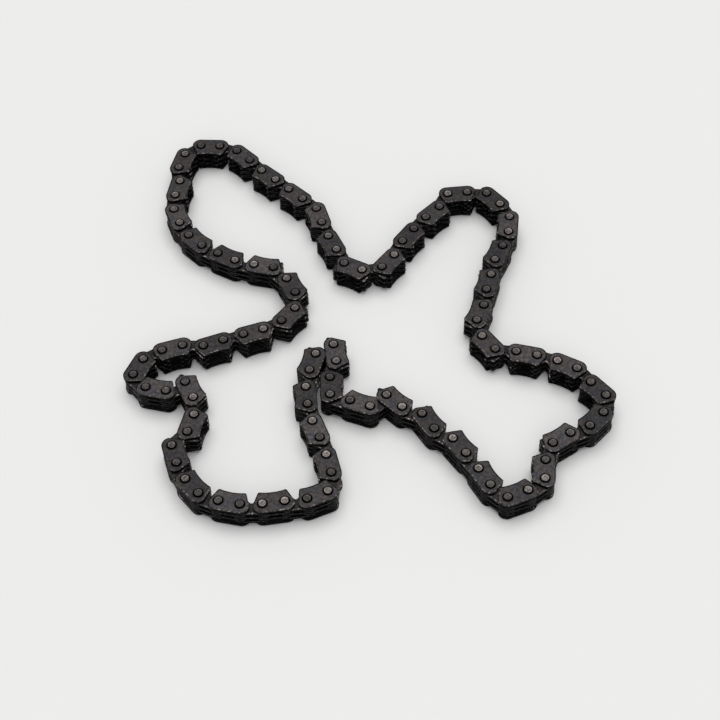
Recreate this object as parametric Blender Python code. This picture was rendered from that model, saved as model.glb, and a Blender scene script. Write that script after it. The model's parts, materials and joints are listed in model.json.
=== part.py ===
"""A silent timing chain, lying loose on its side.

The chain is an endless band of toothed plates on riveted pins. Rows of two kinds take turns along it:
a guide row has a guide plate on each side and two toothed plates between them, all fixed on two pins,
and an inner row has three toothed plates that turn on those pins. The plates of the two rows lie in
turn across the width, so the chain is seven plates thick. It lies on its lower pin heads, and its
teeth point into the loop.

Metres, +Z up. The origin is under the middle of the chain's plan, on the surface that it lies on.
"""

import math

import bmesh
import bpy
import numpy as np
from mathutils import Matrix

MM = 0.001

# Plates across the width
PITCH = 6.35 * MM
PLATE_THICKNESS = 0.96 * MM
RUNNING_GAP = 0.04 * MM
GUIDE_LAYERS = (0, 6)
MID_LAYERS = (2, 4)
INNER_LAYERS = (1, 3, 5)

# Pins
PIN_RADIUS = 1.0 * MM
HEAD_RADIUS = 1.16 * MM
HEAD_HEIGHT = 0.38 * MM
HEAD_BEVEL = 0.12 * MM
TURNING_CLEARANCE = 0.05 * MM
FIXED_CLEARANCE = 0.03 * MM

# Plate outlines: the pins are on the X axis, the back is up and the teeth point down
END_GAP = 0.65 * MM
CORNER_RADIUS = 2.65 * MM
TIP_DEPTH = 4.0 * MM
GUIDE_BACK = 3.0 * MM
GUIDE_TIP_REACH = 0.85 * MM
GUIDE_NOTCH_DEPTH = 3.45 * MM
TOOTHED_BACK = 2.7 * MM
TOOTH_TIP_REACH = 0.6 * MM
TOOTH_TIP_WIDTH = 0.85 * MM
CROTCH_DEPTH = 0.95 * MM
CROTCH_WIDTH = 0.9 * MM

# Facets
PIN_SIDES = 6
CORNER_STEPS = 4
RUN_CORNER_STEPS = 2
FLAT_ANGLE = math.radians(0.5)

# How far solids reach into each other where they are joined into one
WELD = 0.02 * MM

# The lay: each link's heading in degrees, clockwise round the loop as seen from above. A section of
# one link swings on its pins, and a longer section is a run that keeps its bends. The first link is
# a guide row, and the two kinds of row take turns from there. Two links swing as a pair, each as
# long as the other and headed the opposite way, so that the loop stays closed as they turn together.
LAY = [
    ("nw_link_b", [133]),
    ("nw_run", [119, 109, 89, 78, 95, 73, 35, -5, -24, -47, -51, -44]),
    ("nw_link_a", [-47]),
    ("north_run", [-45, -46, -75, -72, -67, -69, -29, 8, 50]),
    ("ne_link_a", [63]),
    ("ne_run", [52, 50, 43, 61, 3, -7, -52, -66, -98, -112]),
    ("ne_link_b", [-117]),
    ("east_run", [-106, -108, -102, -114, -80, -56, -11, -16, -22, -30]),
    ("se_link_a", [-57]),
    ("se_run", [-52, -104, -135, -159, -149, -115, -97, -145, -160, 135, 118, 120]),
    ("se_link_b", [123]),
    ("fold_run", [144, 121, 154, 134, -142, 157, 157, 89, 72, 96, -149, -108, -101]),
    ("south_link_a", [-86]),
    ("south_run", [-78, -71, -74, -78, -100, -159, -176, -174, 179, 166, 154, 128, 115, 105, 46, 74]),
    ("south_link_b", [94]),
    ("west_link_c", [114]),
    ("west_link_a", [-152]),
    ("west_run", [165, 129, 64, 29, 15, -5, 18, 17, 16]),
    ("west_link_b", [28]),
    ("waist_run", [49, 89, 115, 131, 165, 161, 150, 145]),
]
ROOT = "fold_run"
LAST_FORWARD = "nw_run"
CLOSING_STEPS = 6

GUIDE_COLOUR = (0.052, 0.047, 0.046, 1.0)
TOOTHED_COLOUR = (0.022, 0.020, 0.020, 1.0)
RUN_COLOUR = (0.036, 0.032, 0.031, 1.0)
PIN_COLOUR = (0.105, 0.094, 0.086, 1.0)


def settled_headings():
    """Each link's heading in radians, with the runs' bends eased by the least that closes the loop."""
    headings = np.radians([heading for _, links in LAY for heading in links])
    bends = np.array([len(links) > 1 for _, links in LAY for _ in links])
    for _ in range(CLOSING_STEPS):
        miss = np.array([np.cos(headings).sum(), np.sin(headings).sum()])
        slopes = np.array([-np.sin(headings[bends]), np.cos(headings[bends])])
        headings[bends] -= slopes.T @ np.linalg.solve(slopes @ slopes.T, miss)
    return headings


def layer(index):
    """The lower and upper height of one layer of plates, counted from the surface."""
    low = HEAD_HEIGHT + index * (PLATE_THICKNESS + RUNNING_GAP)
    return low, low + PLATE_THICKNESS


CHAIN_WIDTH = layer(GUIDE_LAYERS[-1])[1] + HEAD_HEIGHT


def outline(half):
    """A whole outline from its half at +X, which runs from the teeth round the end to the back."""
    return half + [(-x, y) for x, y in reversed(half) if x > 0]


def shoulder(back, steps):
    """The round corner between a plate's end and its back."""
    end = PITCH - END_GAP / 2
    angles = np.linspace(0, math.pi / 2, steps + 1)
    return [
        (end - CORNER_RADIUS * (1 - math.cos(angle)), back - CORNER_RADIUS * (1 - math.sin(angle)))
        for angle in angles
    ]


def guide_outline(corner_steps=CORNER_STEPS):
    """A guide plate: round shoulders, and a shallow notch between its two tips."""
    tip = PITCH / 2 + GUIDE_TIP_REACH
    return outline([(0, -GUIDE_NOTCH_DEPTH), (tip, -TIP_DEPTH)] + shoulder(GUIDE_BACK, corner_steps))


def toothed_outline(corner_steps=CORNER_STEPS):
    """A toothed plate: round shoulders, and two teeth with a deep crotch between them."""
    tip = PITCH / 2 + TOOTH_TIP_REACH
    teeth = [
        (CROTCH_WIDTH / 2, -CROTCH_DEPTH),
        (tip - TOOTH_TIP_WIDTH, -TIP_DEPTH),
        (tip, -TIP_DEPTH),
    ]
    return outline(teeth + shoulder(TOOTHED_BACK, corner_steps))


def pin_hole(side, clearance):
    """The outline of a hole whose flats clear a pin, at the -X or the +X pin."""
    radius = (PIN_RADIUS + clearance) / math.cos(math.pi / PIN_SIDES)
    return [
        (side * PITCH / 2 + radius * math.cos(turn), radius * math.sin(turn))
        for turn in np.arange(PIN_SIDES) * 2 * math.pi / PIN_SIDES
    ]


def prism(shape, low, high, holes=()):
    """A flat solid of one outline between two heights, with holes through it."""
    solid = bmesh.new()
    edges = []
    for loop in (shape, *holes):
        corners = [solid.verts.new((x, y, low)) for x, y in loop]
        edges += [solid.edges.new(pair) for pair in zip(corners, corners[1:] + corners[:1])]
    bmesh.ops.triangle_fill(solid, use_beauty=True, edges=edges)
    raised = bmesh.ops.extrude_face_region(solid, geom=solid.faces[:])["geom"]
    top = [item for item in raised if isinstance(item, bmesh.types.BMVert)]
    bmesh.ops.translate(solid, verts=top, vec=(0, 0, high - low))
    bmesh.ops.recalc_face_normals(solid, faces=solid.faces[:])
    return solid


def turned(profile, sides):
    """A closed solid turned about Z from a profile of radii and heights that ends on the axis."""
    solid = bmesh.new()
    points = [solid.verts.new((radius, 0, height)) for radius, height in profile]
    edges = [solid.edges.new(pair) for pair in zip(points, points[1:])]
    bmesh.ops.spin(
        solid,
        geom=points + edges,
        cent=(0, 0, 0),
        axis=(0, 0, 1),
        angle=2 * math.pi,
        steps=sides,
        use_merge=True,
    )
    bmesh.ops.remove_doubles(solid, verts=solid.verts[:], dist=0.1 * WELD)
    bmesh.ops.recalc_face_normals(solid, faces=solid.faces[:])
    return solid


def riveted_pin(head_height):
    """A pin with a head over each guide plate, and a bevel round its rim."""
    lower = [
        (0, 0),
        (HEAD_RADIUS - HEAD_BEVEL, 0),
        (HEAD_RADIUS, HEAD_BEVEL),
        (HEAD_RADIUS, head_height),
        (PIN_RADIUS, head_height),
    ]
    upper = [(radius, CHAIN_WIDTH - height) for radius, height in reversed(lower)]
    return turned(lower + upper, PIN_SIDES)


def run_pin(turns):
    """A pin of a run, of which only the heads show unless a swinging link turns on it."""
    head = [(0, 0), (HEAD_RADIUS, 0)]
    waist = [(HEAD_RADIUS, HEAD_HEIGHT + WELD), (PIN_RADIUS, HEAD_HEIGHT + WELD)] if turns else []
    lower = head + waist
    upper = [(radius, CHAIN_WIDTH - height) for radius, height in reversed(lower)]
    return turned(lower + upper, PIN_SIDES)


def finish(solid, name):
    """The mesh of a worked solid."""
    mesh = bpy.data.meshes.new(name)
    solid.to_mesh(mesh)
    solid.free()
    return mesh


def gather(solids, name):
    """One mesh of several solids, each put in place by its own matrix."""
    whole = bmesh.new()
    for solid, place in solids:
        solid.transform(place)
        part = finish(solid, name)
        whole.from_mesh(part)
        bpy.data.meshes.remove(part)
    return finish(whole, name)


def steel(name, colour, roughness):
    """Oiled steel with a dark finish."""
    material = bpy.data.materials.new(name)
    material.use_nodes = True
    shader = material.node_tree.nodes["Principled BSDF"]
    shader.inputs["Base Color"].default_value = colour
    shader.inputs["Metallic"].default_value = 0.8
    shader.inputs["Roughness"].default_value = roughness
    material.diffuse_color = colour
    return material


def add(name, mesh, material, pivot, place):
    """One named object under its section's pivot, placed within it."""
    piece = bpy.data.objects.new(name, mesh)
    piece.data.shade_smooth()
    piece.data.set_sharp_from_angle(angle=math.radians(35))
    if not mesh.materials:
        mesh.materials.append(material)
    piece.parent = pivot
    piece.matrix_local = place
    bpy.context.collection.objects.link(piece)
    return piece


def unite(name, meshes):
    """The union of meshes whose solids overlap, with each flat face in one piece."""
    pieces = [bpy.data.objects.new(f"{name}_{mesh.name}", mesh) for mesh in meshes]
    for piece in pieces:
        bpy.context.collection.objects.link(piece)
    for other in pieces[1:]:
        union = pieces[0].modifiers.new(other.name, "BOOLEAN")
        union.operation = "UNION"
        union.use_self = True
        union.object = other
    bpy.context.view_layer.update()
    evaluated = pieces[0].evaluated_get(bpy.context.evaluated_depsgraph_get())
    solid = bmesh.new()
    solid.from_mesh(evaluated.to_mesh())
    for piece in pieces:
        bpy.data.objects.remove(piece)
    bmesh.ops.dissolve_limit(
        solid, angle_limit=FLAT_ANGLE, use_dissolve_boundaries=False, verts=solid.verts[:], edges=solid.edges[:]
    )
    return finish(solid, name)


def run_mesh(name, links, frames, pins):
    """A run of links as one solid.

    Between the guide plates its middle links are solid across their toothed plates. The links at its
    two ends have their plates apart, because the swinging links turn between them.
    """
    ends = links[0], links[-1]
    core_heights = layer(GUIDE_LAYERS[0])[0], layer(GUIDE_LAYERS[1])[0]
    toothed, guide = toothed_outline(RUN_CORNER_STEPS), guide_outline(RUN_CORNER_STEPS)
    core, guides, end_plates, shafts = [], [], [], []
    for link in links:
        place = frames[link]
        if is_guide_row(link):
            showing = GUIDE_LAYERS if link in ends else GUIDE_LAYERS[1:]
            guides += [(prism(guide, *layer(index)), place) for index in showing]
        if link not in ends:
            core.append((prism(toothed, *core_heights), place))
        elif is_guide_row(link):
            end_plates += [(prism(toothed, *layer(index)), place) for index in MID_LAYERS]
        else:
            hole = pin_hole(-1 if link == ends[0] else 1, TURNING_CLEARANCE)
            end_plates += [(prism(toothed, *layer(index), [hole]), place) for index in INNER_LAYERS]
    for link in links[1:]:
        shafts.append((run_pin(turns=False), pins[link]))
    if is_guide_row(ends[0]):
        shafts.append((run_pin(turns=True), pins[ends[0]]))
    if is_guide_row(ends[1]):
        shafts.append((run_pin(turns=True), pins[(ends[1] + 1) % len(pins)]))
    meshes = [
        gather(core, "core"),
        gather(guides, "guide_plates"),
        gather(end_plates, "end_plates"),
        gather(shafts, "pins"),
    ]
    return unite(name, meshes)


def is_guide_row(link):
    """Rows of two kinds take turns, and the first of the lay is a guide row."""
    return link % 2 == 0


def model():
    """The whole chain: one object for each run, and one for each piece of each swinging link.

    The plan is centred on the origin. Each section hangs under an empty on the pin that it turns on.
    """
    headings = settled_headings()
    steps = PITCH * np.stack([np.cos(headings), np.sin(headings)], axis=1)
    starts = np.concatenate([np.zeros((1, 2)), np.cumsum(steps, axis=0)[:-1]])
    corners = []
    for start, step, heading, link in zip(starts, steps, headings, range(len(steps))):
        shape = guide_outline if is_guide_row(link) else toothed_outline
        shape = np.array(shape(RUN_CORNER_STEPS))
        along, across = step / PITCH, np.array([-step[1], step[0]]) / PITCH
        corners.append(start + step / 2 + shape[:, :1] * along + shape[:, 1:] * across)
    corners = np.concatenate(corners)
    starts -= (corners.min(axis=0) + corners.max(axis=0)) / 2

    pins = [Matrix.Translation((x, y, 0)) for x, y in starts]
    frames = [
        Matrix.Translation((*(start + step / 2), 0)) @ Matrix.Rotation(heading, 4, "Z")
        for start, step, heading in zip(starts, steps, headings)
    ]

    guide_steel = steel("guide_plate_steel", GUIDE_COLOUR, 0.42)
    toothed_steel = steel("toothed_plate_steel", TOOTHED_COLOUR, 0.48)
    run_steel = steel("run_steel", RUN_COLOUR, 0.45)
    pin_steel = steel("pin_steel", PIN_COLOUR, 0.38)
    fixed_holes = [pin_hole(side, FIXED_CLEARANCE) for side in (-1, 1)]
    turning_holes = [pin_hole(side, TURNING_CLEARANCE) for side in (-1, 1)]
    guide_plate = finish(prism(guide_outline(), 0, PLATE_THICKNESS, fixed_holes), "guide_plate")
    mid_plate = finish(prism(toothed_outline(), 0, PLATE_THICKNESS, fixed_holes), "mid_plate")
    inner_plate = finish(prism(toothed_outline(), 0, PLATE_THICKNESS, turning_holes), "inner_plate")
    pin = finish(riveted_pin(HEAD_HEIGHT - FIXED_CLEARANCE), "pin")
    guide_row = [
        ("guide_plate_bottom", guide_plate, guide_steel, GUIDE_LAYERS[0]),
        ("mid_plate_lower", mid_plate, toothed_steel, MID_LAYERS[0]),
        ("mid_plate_upper", mid_plate, toothed_steel, MID_LAYERS[1]),
        ("guide_plate_top", guide_plate, guide_steel, GUIDE_LAYERS[1]),
    ]
    inner_row = [
        ("inner_plate_bottom", inner_plate, toothed_steel, INNER_LAYERS[0]),
        ("inner_plate_middle", inner_plate, toothed_steel, INNER_LAYERS[1]),
        ("inner_plate_top", inner_plate, toothed_steel, INNER_LAYERS[2]),
    ]

    sections = {}
    link = 0
    for name, run in LAY:
        sections[name] = list(range(link, link + len(run)))
        link += len(run)
    names = list(sections)
    root, last_forward = names.index(ROOT), names.index(LAST_FORWARD)
    forward = names[root + 1:] + names[:last_forward + 1]
    backward = names[last_forward + 1:root][::-1]

    root_pivot = None
    for branch in ([ROOT], forward, backward):
        carrier, carrier_pin = root_pivot, Matrix.Identity(4)
        for name in branch:
            links = sections[name]
            first, last = links[0], (links[-1] + 1) % len(pins)
            pin_place = Matrix.Identity(4) if name == ROOT else pins[last if branch is backward else first]
            pivot = bpy.data.objects.new(f"{name}_pivot", None)
            bpy.context.collection.objects.link(pivot)
            pivot.parent = carrier
            pivot.matrix_local = carrier_pin.inverted() @ pin_place
            carrier, carrier_pin = pivot, pin_place
            root_pivot = root_pivot or pivot

            away = pin_place.inverted()
            if len(links) > 1:
                mesh = run_mesh(name, links, frames, pins)
                mesh.transform(away)
                add(name, mesh, run_steel, pivot, Matrix.Identity(4))
                continue
            for piece, mesh, material, index in guide_row if is_guide_row(first) else inner_row:
                lift = Matrix.Translation((0, 0, layer(index)[0]))
                add(f"{name}_{piece}", mesh, material, pivot, away @ frames[first] @ lift)
            if is_guide_row(first):
                add(f"{name}_pin_first", pin, pin_steel, pivot, away @ pins[first])
                add(f"{name}_pin_second", pin, pin_steel, pivot, away @ pins[last])


for leftover in list(bpy.data.objects):
    bpy.data.objects.remove(leftover)
model()
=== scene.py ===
import json
import math

import bpy
import numpy as np
from mathutils import Matrix
from mathutils.geometry import tessellate_polygon


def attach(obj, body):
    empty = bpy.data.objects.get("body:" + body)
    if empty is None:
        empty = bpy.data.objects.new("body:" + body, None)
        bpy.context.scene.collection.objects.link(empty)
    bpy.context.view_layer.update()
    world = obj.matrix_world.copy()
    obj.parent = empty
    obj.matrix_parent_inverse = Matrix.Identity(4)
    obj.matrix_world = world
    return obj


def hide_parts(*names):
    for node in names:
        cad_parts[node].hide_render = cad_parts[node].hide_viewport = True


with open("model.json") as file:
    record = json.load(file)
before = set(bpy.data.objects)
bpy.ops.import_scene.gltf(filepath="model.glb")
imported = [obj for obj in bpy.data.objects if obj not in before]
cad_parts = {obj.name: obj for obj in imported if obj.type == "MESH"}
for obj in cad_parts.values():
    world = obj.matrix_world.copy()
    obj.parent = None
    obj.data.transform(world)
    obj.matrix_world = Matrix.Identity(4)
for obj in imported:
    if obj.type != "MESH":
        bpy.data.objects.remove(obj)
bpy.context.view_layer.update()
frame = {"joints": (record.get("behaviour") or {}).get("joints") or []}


# The lay of the chain
# A silent timing chain is an endless band of links, each one pitch long, hinged on riveted pins. Here it
# lies loose on its side, clockwise as seen from above, with its teeth towards the inside of the loop.

PITCH = 6.35e-3
CLOSING_STEPS = 6

# Each section of the chain, and the headings in degrees of its links. A section of one link swings.
LAY = [
    ("nw_link_b", [133]),
    ("nw_run", [119, 109, 89, 78, 95, 73, 35, -5, -24, -47, -51, -44]),
    ("nw_link_a", [-47]),
    ("north_run", [-45, -46, -75, -72, -67, -69, -29, 8, 50]),
    ("ne_link_a", [63]),
    ("ne_run", [52, 50, 43, 61, 3, -7, -52, -66, -98, -112]),
    ("ne_link_b", [-117]),
    ("east_run", [-106, -108, -102, -114, -80, -56, -11, -16, -22, -30]),
    ("se_link_a", [-57]),
    ("se_run", [-52, -104, -135, -159, -149, -115, -97, -145, -160, 135, 118, 120]),
    ("se_link_b", [123]),
    ("fold_run", [144, 121, 154, 134, -142, 157, 157, 89, 72, 96, -149, -108, -101]),
    ("south_link_a", [-86]),
    ("south_run", [-78, -71, -74, -78, -100, -159, -176, -174, 179, 166, 154, 128, 115, 105, 46, 74]),
    ("south_link_b", [94]),
    ("west_link_c", [114]),
    ("west_link_a", [-152]),
    ("west_run", [165, 129, 64, 29, 15, -5, 18, 17, 16]),
    ("west_link_b", [28]),
    ("waist_run", [49, 89, 115, 131, 165, 161, 150, 145]),
]

# The bends inside the runs are eased by the least that closes the loop.
headings = np.radians([heading for _, links in LAY for heading in links])
bends = np.array([len(links) > 1 for _, links in LAY for _ in links])
for _ in range(CLOSING_STEPS):
    miss = np.array([np.cos(headings).sum(), np.sin(headings).sum()])
    slopes = np.array([-np.sin(headings[bends]), np.cos(headings[bends])])
    headings[bends] -= slopes.T @ np.linalg.solve(slopes @ slopes.T, miss)

section_ends = np.cumsum([len(links) for _, links in LAY])
sections = {
    name: np.arange(end - len(links), end) for (name, links), end in zip(LAY, section_ends)
}

# Unit vectors along each link and towards its back, and the place of its first pin
alongs = np.stack([np.cos(headings), np.sin(headings)], axis=1)
backs = np.stack([-alongs[:, 1], alongs[:, 0]], axis=1)
pins = np.concatenate([np.zeros((1, 2)), np.cumsum(PITCH * alongs, axis=0)[:-1]])
hinge = next(joint for joint in frame["joints"] if joint["name"] == "south_link_a_hinge")
pins += np.array(hinge["pos_m"][:2]) - pins[sections["south_link_a"][0]]
middles = pins + PITCH / 2 * alongs

# Guide plates
# A guide plate is stamped from 1 mm strip and phosphated dark. One lies on each side of every second
# row, fixed on the row's two pins, with round shoulders, slanted flanks and a shallow notch.

PLATE_THICKNESS = 0.96e-3
RUNNING_GAP = 0.04e-3
HEAD_HEIGHT = 0.38e-3
EDGE_WIDTH = 0.36e-3
EDGE_DROP = 0.07e-3
PLATE_HALF_LENGTH = PITCH - 0.325e-3
SHOULDER_RADIUS = 2.65e-3
SHOULDER_START = math.radians(6)
GUIDE_BACK = 3.0e-3
TIP_DEPTH = 4.0e-3
FIXED_HOLE = 1.02e-3
HOLE_SIDES = 8
GUIDE_LAYERS = {"bottom": 0, "top": 6}

# Divisor of the distance in millimetres from a pin, for the painted shade round the pins
PIN_SHADE_REACH = 2.0
SHARP_TURN = math.radians(30)
FACE, EDGE, WALL = 0, 1, 2

chance = np.random.default_rng(11)


def layer_height(index):
    """The lower face of one layer of plates, counted up from the surface that the chain lies on."""
    return HEAD_HEIGHT + index * (PLATE_THICKNESS + RUNNING_GAP)


def corner(before, point, after, steps):
    """A rounded corner: the quadratic curve from `before` to `after` that is drawn towards `point`."""
    t = np.linspace(0, 1, steps + 1)[:, None]
    return (1 - t) ** 2 * np.array(before) + 2 * t * (1 - t) * np.array(point) + t**2 * np.array(after)


def shoulder(back, steps):
    """The round end of a plate: an arc that starts at its furthest point and ends on its straight back."""
    turn = np.linspace(SHOULDER_START, math.pi / 2, steps + 1)
    centre = (PLATE_HALF_LENGTH - SHOULDER_RADIUS, back - SHOULDER_RADIUS)
    return centre + SHOULDER_RADIUS * np.stack([np.cos(turn), np.sin(turn)], axis=1)


def mirrored(half):
    """A closed outline from its half at +X, which runs from the teeth round the end to the back."""
    return np.concatenate([half, half[::-1] * (-1, 1)])


def stamped_plate(outline, hole_radius):
    """One plate lying on z = 0, as vertices, faces and the finish of each face.

    Its rim is four rings of the outline: the lower face, drawn in by the rolled edge, the two ends of
    the upright wall, and the upper face. Two ring walls line its holes.
    """
    ahead, behind = np.roll(outline, -1, axis=0), np.roll(outline, 1, axis=0)
    tangent = (ahead - behind) / np.linalg.norm(ahead - behind, axis=1, keepdims=True)
    drawn_in = outline + EDGE_WIDTH * np.stack([-tangent[:, 1], tangent[:, 0]], axis=1)
    turn = np.arange(HOLE_SIDES) * 2 * np.pi / HOLE_SIDES
    round_hole = hole_radius * np.stack([np.cos(turn), np.sin(turn)], axis=1)
    holes = [round_hole + (side * PITCH / 2, 0) for side in (-1, 1)]

    heights = (0, EDGE_DROP, PLATE_THICKNESS - EDGE_DROP, PLATE_THICKNESS)
    rings = [drawn_in, outline, outline, drawn_in]
    rings += [hole for hole in holes for _ in (0, 1)]
    levels = heights + (0, PLATE_THICKNESS) * 2
    vertices = np.concatenate([
        np.column_stack([ring, np.full(len(ring), level)]) for ring, level in zip(rings, levels)
    ])
    starts = np.concatenate([[0], np.cumsum([len(ring) for ring in rings])])

    def band(low, high, count):
        here = np.arange(count)
        there = (here + 1) % count
        return np.stack([low + here, low + there, high + there, high + here], axis=1)

    count = len(outline)
    walls = [band(starts[k], starts[k + 1], count) for k in range(3)]
    linings = [band(starts[k], starts[k + 1], HOLE_SIDES)[:, ::-1] for k in (4, 6)]

    loops = [np.column_stack([ring, np.zeros(len(ring))]) for ring in (drawn_in, *holes)]
    cap = np.array(tessellate_polygon([loop.tolist() for loop in loops]))
    flat = np.concatenate(loops)[:, :2]
    first, second = flat[cap[:, 1]] - flat[cap[:, 0]], flat[cap[:, 2]] - flat[cap[:, 0]]
    turned_down = first[:, 0] * second[:, 1] < first[:, 1] * second[:, 0]
    cap[turned_down] = cap[turned_down][:, ::-1]
    lower = np.concatenate([starts[k] + np.arange(len(rings[k])) for k in (0, 4, 6)])
    upper = np.concatenate([starts[k] + np.arange(len(rings[k])) for k in (3, 5, 7)])

    faces = [*walls[0], *walls[2], *walls[1], *linings[0], *linings[1], *upper[cap], *lower[cap][:, ::-1]]
    finish = np.repeat([EDGE, WALL, FACE], [2 * count, count + 2 * HOLE_SIDES, 2 * len(cap)])
    return vertices, faces, finish


def laid(name, master, places):
    """A mesh of one master shape at many places, each a middle, a direction and a height.

    A point (x, y, z) of the master goes to middle + x * along + y * back, at height + z. Each copy gets
    its own shade. The master's x and y go into a UV map in millimetres, and its z into an attribute.
    """
    vertices, faces, finish = master
    middle, along, back, height = (np.array(column) for column in zip(*places))
    plan = middle[:, None] + vertices[:, :1] * along[:, None] + vertices[:, 1:2] * back[:, None]
    up = height[:, None] + vertices[:, 2]
    points = np.concatenate([plan, up[..., None]], axis=2).reshape(-1, 3)
    mesh = bpy.data.meshes.new(name)
    copies = [face + copy * len(vertices) for copy in range(len(places)) for face in faces]
    mesh.from_pydata(points.tolist(), [], [face.tolist() for face in copies])
    mesh.polygons.foreach_set("material_index", np.tile(finish, len(places)))
    shade = mesh.attributes.new("shade", "FLOAT", "POINT")
    shade.data.foreach_set("value", np.repeat(chance.random(len(places)), len(vertices)))
    rise = mesh.attributes.new("rise", "FLOAT", "POINT")
    rise.data.foreach_set("value", np.tile(vertices[:, 2] / PLATE_THICKNESS, len(places)))
    corners = np.zeros(len(mesh.loops), dtype=int)
    mesh.loops.foreach_get("vertex_index", corners)
    own = np.tile(vertices[:, :2] * 1000, (len(places), 1))[corners]
    mesh.uv_layers.new(name="own_plan").data.foreach_set("uv", own.ravel())
    mesh.shade_smooth()
    mesh.set_sharp_from_angle(angle=SHARP_TURN)
    mesh.polygons.foreach_set("use_smooth", np.tile(finish != FACE, len(places)))
    piece = bpy.data.objects.new(name, mesh)
    bpy.context.collection.objects.link(piece)
    return piece


def link_places(links, layers):
    """The place of a plate on each of these links, in each of these layers."""
    return [
        (middles[link], alongs[link], backs[link], layer_height(layer))
        for layer in layers
        for link in links
    ]


def noise(material, size, detail, roughness=0.5):
    """Noise in Object coordinates whose patches are about `size` metres across."""
    nodes, links = material.node_tree.nodes, material.node_tree.links
    texture = nodes.new("ShaderNodeTexNoise")
    texture.inputs["Scale"].default_value = 1 / size
    texture.inputs["Detail"].default_value = detail
    texture.inputs["Roughness"].default_value = roughness
    place = nodes.get("Texture Coordinate") or nodes.new("ShaderNodeTexCoord")
    links.new(place.outputs["Object"], texture.inputs["Vector"])
    return texture.outputs["Fac"]


def ramp(material, value, stops):
    """A colour for each value, straight between the stops given."""
    node = material.node_tree.nodes.new("ShaderNodeValToRGB")
    while len(node.color_ramp.elements) < len(stops):
        node.color_ramp.elements.new(0.5)
    for element, (position, colour) in zip(node.color_ramp.elements, stops):
        element.position = position
        element.color = (*colour, 1)
    material.node_tree.links.new(value, node.inputs["Fac"])
    return node.outputs["Color"]


def multiplied(material, first, second):
    """Two colours multiplied together."""
    node = material.node_tree.nodes.new("ShaderNodeMix")
    node.data_type = "RGBA"
    node.blend_type = "MULTIPLY"
    node.inputs["Factor"].default_value = 1
    material.node_tree.links.new(first, node.inputs[6])
    material.node_tree.links.new(second, node.inputs[7])
    return node.outputs[2]


def grey_by(material, attribute, stops):
    """A grey for each value of an attribute that `laid` gives a piece."""
    own = material.node_tree.nodes.new("ShaderNodeAttribute")
    own.attribute_name = attribute
    return ramp(material, own.outputs["Fac"], [(position, (grey,) * 3) for position, grey in stops])


def grain(material, height, strength, distance):
    """Fine relief on the surface."""
    nodes, links = material.node_tree.nodes, material.node_tree.links
    bump = nodes.new("ShaderNodeBump")
    bump.inputs["Strength"].default_value = strength
    bump.inputs["Distance"].default_value = distance
    links.new(height, bump.inputs["Height"])
    links.new(bump.outputs["Normal"], nodes["Principled BSDF"].inputs["Normal"])


def metal(name, metallic):
    """A new metal, and its shader."""
    material = bpy.data.materials.new(name)
    material.use_nodes = True
    shader = material.node_tree.nodes["Principled BSDF"]
    shader.inputs["Metallic"].default_value = metallic
    return material, shader


def painted_shade_round_pins(material, unshaded_grey):
    """Painted shade round a plate's two pins, from the plan in its UV map: a grey that falls from the given
    level to black at the pins.
    """
    nodes, links = material.node_tree.nodes, material.node_tree.links
    plan = nodes.new("ShaderNodeUVMap")
    plan.uv_map = "own_plan"
    folded = nodes.new("ShaderNodeVectorMath")
    folded.operation = "ABSOLUTE"
    links.new(plan.outputs["UV"], folded.inputs[0])
    from_pin = nodes.new("ShaderNodeVectorMath")
    from_pin.operation = "DISTANCE"
    from_pin.inputs[1].default_value = (PITCH / 2 * 1000, 0, 0)
    links.new(folded.outputs["Vector"], from_pin.inputs[0])
    reach = nodes.new("ShaderNodeMath")
    reach.operation = "DIVIDE"
    reach.inputs[1].default_value = PIN_SHADE_REACH
    links.new(from_pin.outputs["Value"], reach.inputs[0])
    stops = [(0.74, 0.0), (0.82, 0.6 * unshaded_grey), (0.95, unshaded_grey)]
    return ramp(material, reach.outputs["Value"], [(position, (grey,) * 3) for position, grey in stops])


def phosphated_face(name, darkest, lightest):
    """The flat of a plate: phosphated dark in patches of brown and blue grey, finely mottled, and oiled,
    with painted shade round the pins in its colour and its specular level.
    """
    material, shader = metal(name, 0.7)
    links = material.node_tree.links
    patches = ramp(material, noise(material, 4.0e-3, 2), [
        (0.30, (0.032, 0.031, 0.037)),
        (0.46, (0.039, 0.036, 0.038)),
        (0.60, (0.047, 0.040, 0.038)),
        (0.72, (0.034, 0.033, 0.035)),
    ])
    mottle = ramp(material, noise(material, 0.9e-3, 5, 0.7), [(0.34, (0.38,) * 3), (0.66, (1.48,) * 3)])
    own = grey_by(material, "shade", [(0, darkest), (1, lightest)])
    colour = multiplied(material, multiplied(material, patches, mottle), own)
    # Painted shade round the pins darkens the colour there
    colour = multiplied(material, colour, painted_shade_round_pins(material, 1))
    links.new(colour, shader.inputs["Base Color"])
    gloss = ramp(material, noise(material, 1.2e-3, 3), [(0.30, (0.34,) * 3), (0.70, (0.52,) * 3)])
    links.new(gloss, shader.inputs["Roughness"])
    # Painted shade round the pins also dims the specular level there
    links.new(painted_shade_round_pins(material, 0.35), shader.inputs["Specular IOR Level"])
    grain(material, noise(material, 0.12e-3, 3), 0.35, 0.02e-3)
    return material


def rubbed_edge(name, oiled, rubbed, bare):
    """The rolled rim of a plate, from oiled to rubbed bare, with the dull gloss of handling."""
    material, shader = metal(name, 0.9)
    wear = ramp(material, noise(material, 0.8e-3, 4, 0.6), [(0.40, oiled), (0.53, rubbed), (0.66, bare)])
    material.node_tree.links.new(wear, shader.inputs["Base Color"])
    shader.inputs["Roughness"].default_value = 0.18
    return material


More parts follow.
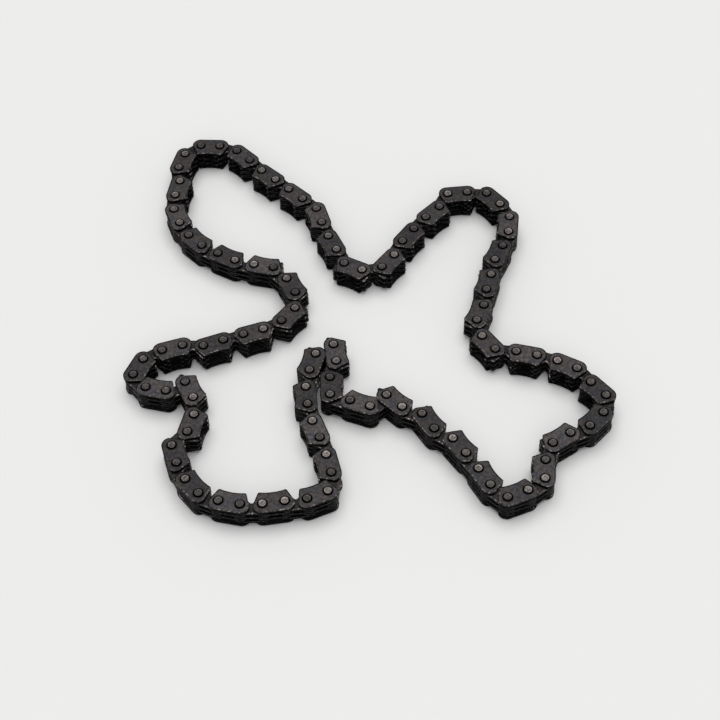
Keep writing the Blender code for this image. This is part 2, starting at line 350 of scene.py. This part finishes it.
def sheared_wall(name, black, grey, rubbed):
    """The wall of a plate: mostly black, partly with oil and partly as painted shade where the light does
    not reach, in vertical streaks whose brightest specks are painted glints; lighter along its top as a
    painted highlight and darker below as painted shade.
    """
    material, shader = metal(name, 0.0)
    nodes, links = material.node_tree.nodes, material.node_tree.links
    streaks = noise(material, 0.30e-3, 3)
    flatten = nodes.new("ShaderNodeMapping")
    flatten.inputs["Scale"].default_value = (1, 1, 0.2)
    links.new(nodes["Texture Coordinate"].outputs["Object"], flatten.inputs["Vector"])
    links.new(flatten.outputs["Vector"], streaks.node.inputs["Vector"])
    # Vertical streaks from black to grey; the lightest stop paints glints, bright specks that stand for
    # reflections
    streaks_and_glints = ramp(material, streaks, [
        (0.35, (black,) * 3),
        (0.58, (grey,) * 3),
        (0.66, (rubbed,) * 3),
        (0.74, (0.11, 0.10, 0.095)),
    ])
    # Painted highlight along the top of each wall and painted shade below it, by the height in the plate
    painted_light_by_rise = grey_by(material, "rise", [(0.45, 0.06), (0.72, 1)])
    links.new(multiplied(material, streaks_and_glints, painted_light_by_rise), shader.inputs["Base Color"])
    gloss = ramp(material, streaks, [(0.3, (0.38,) * 3), (0.7, (0.58,) * 3)])
    links.new(gloss, shader.inputs["Roughness"])
    shader.inputs["Specular IOR Level"].default_value = 0.03
    grain(material, streaks, 0.3, 0.02e-3)
    return material


guide_face = phosphated_face("guide_face", 0.62, 1.36)
guide_wall = sheared_wall("guide_wall", 0.001, 0.004, 0.020)
guide_edge = rubbed_edge("guide_edge", (0.008, 0.007, 0.007), (0.020, 0.018, 0.018), (0.11, 0.098, 0.092))
guide_finishes = guide_face, guide_edge, guide_wall


def fitted(piece, finishes, section, slot, *nodes):
    """Gives a piece its finishes, the section that carries it and the solids that it stands for."""
    for finish in finishes:
        piece.data.materials.append(finish)
    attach(piece, section)
    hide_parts(*nodes)


guide_half = np.concatenate([
    corner((0.35e-3, -3.45e-3), (1.9e-3, -3.48e-3), (3.30e-3, -3.80e-3), 3),
    corner((3.52e-3, -3.86e-3), (4.00e-3, -TIP_DEPTH), (4.29e-3, -3.42e-3), 3),
    [(5.95e-3, 0.18e-3)],
    shoulder(GUIDE_BACK, 6),
])
guide_plate = stamped_plate(mirrored(guide_half), FIXED_HOLE)

for section, links in sections.items():
    guide_rows = links[links % 2 == 0]
    if len(links) > 1:
        piece = laid(f"{section}_guide_plates", guide_plate, link_places(guide_rows, GUIDE_LAYERS.values()))
        fitted(piece, guide_finishes, section, "guide_plate_steel", section)
        continue
    for side, layer in GUIDE_LAYERS.items() if len(guide_rows) else ():
        piece = laid(f"{section}_{side}_guide_plate", guide_plate, link_places(links, [layer]))
        fitted(piece, guide_finishes, section, "guide_plate_steel", f"{section}_guide_plate_{side}")

# Mid plates
# Two toothed plates stand between the guide plates of each guide row, pressed on the same two pins.
# Their teeth hang either side of a round crotch, and mesh with the sprocket.

MID_LAYERS = {"lower": 2, "upper": 4}
TOOTHED_BACK = 2.7e-3

toothed_half = np.concatenate([
    corner((0.18e-3, -0.82e-3), (0.45e-3, -0.85e-3), (0.62e-3, -1.16e-3), 2),
    corner((2.78e-3, -3.65e-3), (2.92e-3, -TIP_DEPTH), (3.25e-3, -TIP_DEPTH), 2),
    corner((3.40e-3, -TIP_DEPTH), (3.77e-3, -TIP_DEPTH), (4.00e-3, -3.58e-3), 2),
    [(5.92e-3, -0.14e-3)],
    shoulder(TOOTHED_BACK, 5),
])
mid_plate = stamped_plate(mirrored(toothed_half), FIXED_HOLE)
toothed_edge = rubbed_edge(
    "toothed_edge", (0.010, 0.009, 0.009), (0.030, 0.027, 0.026), (0.20, 0.178, 0.165)
)
# The toothed plates' flats are a darker copy of the guide plates' flats: painted shade for the crevices
# between the guide plates where they are seen
shade_painted_toothed_face = phosphated_face("shade_painted_toothed_face", 0.28, 0.56)
toothed_wall = sheared_wall("toothed_wall", 0.006, 0.036, 0.11)
toothed_finishes = shade_painted_toothed_face, toothed_edge, toothed_wall

for section, links in sections.items():
    guide_rows = links[links % 2 == 0]
    if len(links) > 1:
        piece = laid(f"{section}_mid_plates", mid_plate, link_places(guide_rows, MID_LAYERS.values()))
        fitted(piece, toothed_finishes, section, "toothed_plate_steel", section)
        continue
    for side, layer in MID_LAYERS.items() if len(guide_rows) else ():
        piece = laid(f"{section}_{side}_mid_plate", mid_plate, link_places(links, [layer]))
        fitted(piece, toothed_finishes, section, "toothed_plate_steel", f"{section}_mid_plate_{side}")

# Inner plates
# The rows between the guide rows are three toothed plates, laced in turn with those of their
# neighbours. Their holes are a little larger, and they turn on the pins.

TURNING_HOLE = 1.05e-3
INNER_LAYERS = {"bottom": 1, "middle": 3, "top": 5}

inner_plate = stamped_plate(mirrored(toothed_half), TURNING_HOLE)

for section, links in sections.items():
    inner_rows = links[links % 2 == 1]
    if len(links) > 1:
        piece = laid(f"{section}_inner_plates", inner_plate, link_places(inner_rows, INNER_LAYERS.values()))
        fitted(piece, toothed_finishes, section, "toothed_plate_steel", section)
        continue
    for side, layer in INNER_LAYERS.items() if len(inner_rows) else ():
        piece = laid(f"{section}_{side}_inner_plate", inner_plate, link_places(links, [layer]))
        fitted(piece, toothed_finishes, section, "toothed_plate_steel", f"{section}_inner_plate_{side}")

# Riveted pins
# A round pin goes through all seven plates at each pitch. Its ends are spun over into low flat heads,
# which leaves a bright rim round a slightly dished middle.

PIN_RADIUS = 1.0e-3
PIN_SIDES = 16
CHAIN_WIDTH = layer_height(7) - RUNNING_GAP + HEAD_HEIGHT
HEAD_LIFT = 0.01e-3
HEAD_FLAT, HEAD_RIM, HEAD_SIDE = 0, 1, 2

# Radius and height above the guide plate, from the shank up over the rim to the middle
head_profile = np.array([
    (1.00e-3, HEAD_LIFT),
    (1.16e-3, HEAD_LIFT),
    (1.16e-3, 0.25e-3),
    (1.13e-3, 0.32e-3),
    (1.03e-3, HEAD_HEIGHT),
    (0.84e-3, 0.36e-3),
    (0.62e-3, 0.34e-3),
])


def spun_pin():
    """One upright pin on the axis: the head's profile, mirrored about the middle and turned about z."""
    radius, height = head_profile.T
    radii = np.concatenate([radius[::-1], radius])
    guide_face = CHAIN_WIDTH - HEAD_HEIGHT
    heights = np.concatenate([HEAD_HEIGHT - height[::-1], guide_face + height])
    turn = np.arange(PIN_SIDES) * 2 * np.pi / PIN_SIDES
    rings = np.stack([
        radii[:, None] * np.cos(turn),
        radii[:, None] * np.sin(turn),
        np.repeat(heights[:, None], PIN_SIDES, axis=1),
    ], axis=2).reshape(-1, 3)
    poles = np.array([(0, 0, HEAD_HEIGHT - height[-1]), (0, 0, guide_face + height[-1])])
    here = np.arange(PIN_SIDES)
    there = (here + 1) % PIN_SIDES
    first = np.arange(len(radii) - 1)[:, None] * PIN_SIDES
    second = first + PIN_SIDES
    bands = np.stack([first + here, first + there, second + there, second + here], axis=2)
    top = (len(radii) - 1) * PIN_SIDES
    lower_fan = np.stack([there, here, np.full(PIN_SIDES, len(rings))], axis=1)
    upper_fan = np.stack([top + here, top + there, np.full(PIN_SIDES, len(rings) + 1)], axis=1)
    steps = [HEAD_SIDE, HEAD_SIDE, HEAD_SIDE, HEAD_RIM, HEAD_RIM, HEAD_FLAT]
    finish = np.repeat([*steps[::-1], HEAD_SIDE, *steps, HEAD_FLAT, HEAD_FLAT], PIN_SIDES)
    faces = [*bands.reshape(-1, 4), *lower_fan, *upper_fan]
    return np.concatenate([rings, poles]), faces, finish


def spun_steel(name, low, high, roughness):
    """Pin steel, lighter than the plates and warm grey, with fine mottling."""
    material, shader = metal(name, 0.8)
    mottle = ramp(material, noise(material, 0.7e-3, 4, 0.6), [(0.38, low), (0.62, high)])
    colour = multiplied(material, mottle, grey_by(material, "shade", [(0, 0.45), (0.5, 0.85), (1, 2.0)]))
    material.node_tree.links.new(colour, shader.inputs["Base Color"])
    shader.inputs["Roughness"].default_value = roughness
    grain(material, noise(material, 0.10e-3, 3), 0.3, 0.02e-3)
    return material


pin_finishes = (
    spun_steel("pin_head_middle", (0.028, 0.025, 0.024), (0.096, 0.085, 0.079), 0.42),
    spun_steel("pin_head_rim", (0.042, 0.037, 0.036), (0.150, 0.132, 0.122), 0.34),
    # The heads' side walls are near black: painted shade for the dark crescent below each head
    spun_steel("pin_side_in_painted_shade", (0.001, 0.001, 0.001), (0.003, 0.003, 0.003), 0.5),
)
pin = spun_pin()


def pin_places(indices):
    """The place of a pin at each of these places in the chain."""
    return [(pins[index % len(pins)], (1, 0), (0, 1), 0) for index in indices]


for section, links in sections.items():
    guide_rows = links[links % 2 == 0]
    if len(links) > 1:
        both = np.concatenate([guide_rows, guide_rows + 1])
        piece = laid(f"{section}_pins", pin, pin_places(both))
        fitted(piece, pin_finishes, section, "pin_steel", section)
        continue
    for place, index in (("first", links[0]), ("second", links[0] + 1)) if len(guide_rows) else ():
        piece = laid(f"{section}_{place}_pin", pin, pin_places([index]))
        fitted(piece, pin_finishes, section, "pin_steel", f"{section}_pin_{place}")

# Stage: a plain pale floor
FLOOR_SIZE = 3.0
floor_mesh = bpy.data.meshes.new("floor")
floor_corners = FLOOR_SIZE / 2 * np.array([(-1, -1, 0), (1, -1, 0), (1, 1, 0), (-1, 1, 0)])
floor_mesh.from_pydata(floor_corners.tolist(), [], [(0, 1, 2, 3)])
floor = bpy.data.objects.new("floor", floor_mesh)
bpy.context.collection.objects.link(floor)
floor_paint, floor_shader = metal("pale_floor", 0.0)
floor_shader.inputs["Base Color"].default_value = (0.835, 0.833, 0.828, 1)
floor_shader.inputs["Roughness"].default_value = 0.9
floor_shader.inputs["Specular IOR Level"].default_value = 0.1
floor_mesh.materials.append(floor_paint)

# Light: a white surround, a broad lamp overhead, and a weak low one from the camera's side
world = bpy.data.worlds.new("surround")
world.use_nodes = True
world.node_tree.nodes["Background"].inputs["Color"].default_value = (1, 1, 1, 1)
world.node_tree.nodes["Background"].inputs["Strength"].default_value = 0.42
bpy.context.scene.world = world


SUN_SIDEWAYS = math.radians(1)


def sun(name, strength, spread, tilt):
    """A soft lamp of this strength and spread in degrees, tilted from upright towards the camera's side."""
    data = bpy.data.lights.new(name, "SUN")
    data.energy = strength
    data.angle = math.radians(spread)
    lamp = bpy.data.objects.new(name, data)
    towards_camera = Matrix.Rotation(math.radians(tilt), 4, "X")
    lamp.matrix_world = towards_camera @ Matrix.Rotation(SUN_SIDEWAYS, 4, "Y")
    bpy.context.collection.objects.link(lamp)


sun("overhead", 1.64, 55, -14)
sun("front", 0.42, 40, 48)

# Camera: the photograph's place, 52 degrees above the surface
camera_data = bpy.data.cameras.new("camera")
camera_data.sensor_width = 36
camera_data.lens = 81.01
camera_data.clip_start = 0.01
camera = bpy.data.objects.new("camera", camera_data)
camera.matrix_world = (
    Matrix.Translation((-0.0019572, -0.3186800, 0.3936149))
    @ Matrix.Rotation(math.radians(90 - 52.418), 4, "X")
    @ Matrix.Rotation(math.radians(-2.337), 4, "Z")
)
bpy.context.collection.objects.link(camera)
bpy.context.scene.camera = camera
bpy.context.scene.view_settings.view_transform = "Standard"
